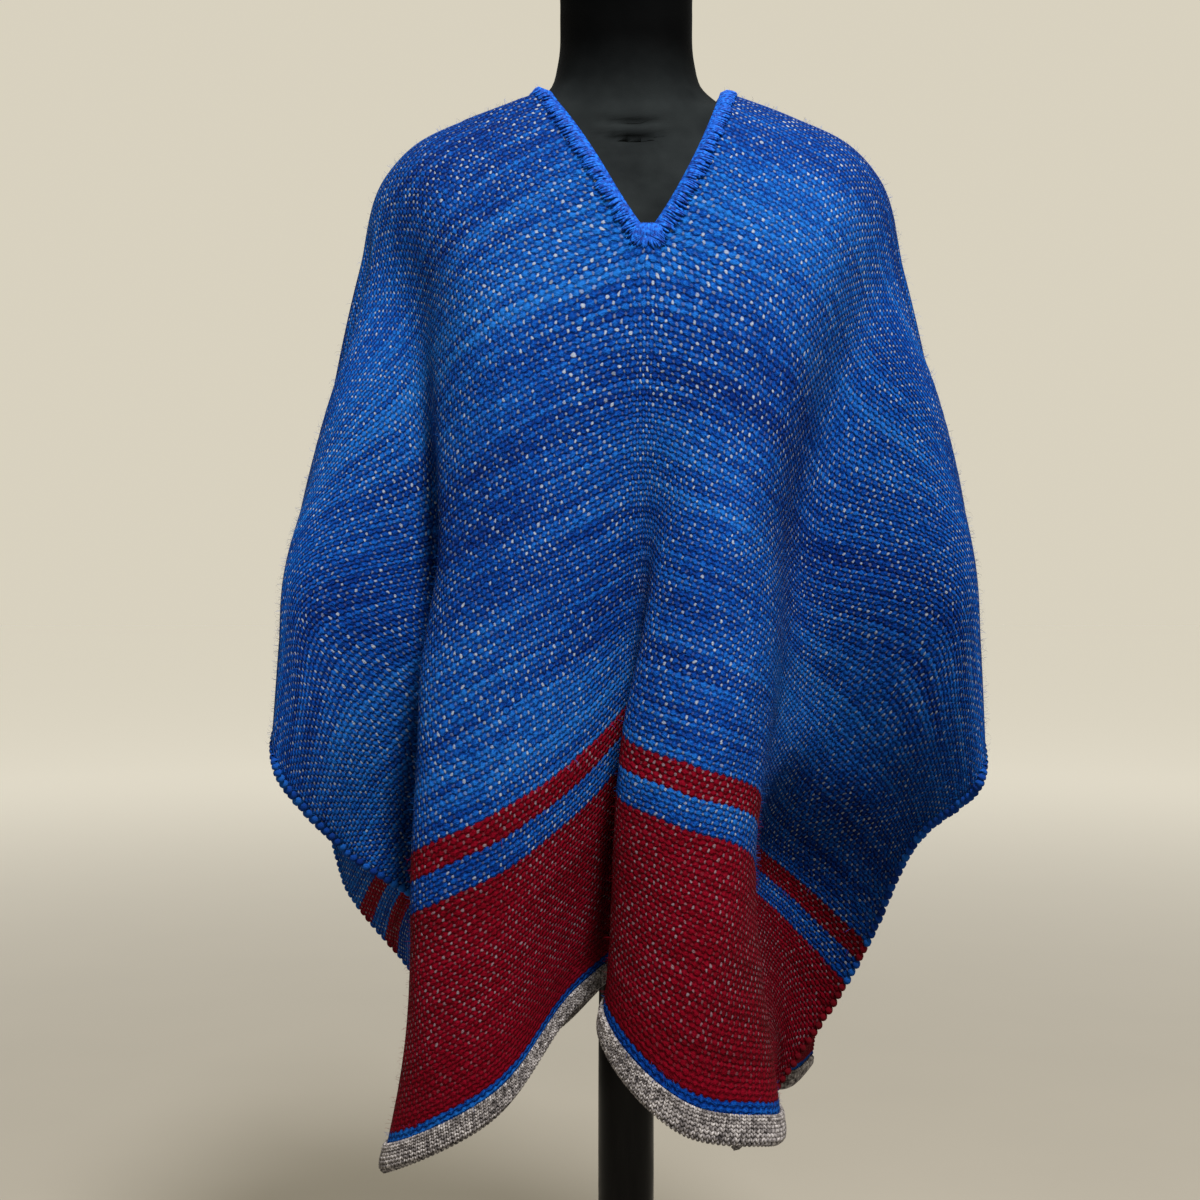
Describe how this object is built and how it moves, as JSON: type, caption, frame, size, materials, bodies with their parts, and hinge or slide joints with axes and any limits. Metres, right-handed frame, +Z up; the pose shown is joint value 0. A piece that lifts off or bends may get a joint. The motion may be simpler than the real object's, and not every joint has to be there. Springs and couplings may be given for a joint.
{
  "type": "wool poncho on a limbless dress form with a stand",
  "caption": "Hand-woven wool poncho with a stitched neck slit, striped ends and knitted hem bindings, hanging in folds on a limbless dress form with a turned post and a round foot.",
  "frame": {"origin": "centre of the flat underside of the stand's foot", "axes": "+Z up along the post, -Y to the front of the poncho, +X to the right as the front is looked at"},
  "size_m": [0.6173, 0.5001, 1.52],
  "materials": {
    "blue_wool": "plain weave of thick blue wool with pale warp flecks and crimson stripes near the ends",
    "bright_blue_yarn": "close stitches of bright blue yarn",
    "grey_knit": "flecked grey wool knit",
    "black_velvet": "short black stretch velvet",
    "black_wood": "black satin lacquer"
  },
  "bodies": {
    "root": {"woven_front": "blue_wool", "woven_back": "blue_wool", "neck_edging": "bright_blue_yarn", "front_hem_binding": "grey_knit", "back_hem_binding": "grey_knit", "dress_form": "black_velvet", "stand_post": "black_wood", "stand_base": "black_wood"}
  },
  "joints": []
}
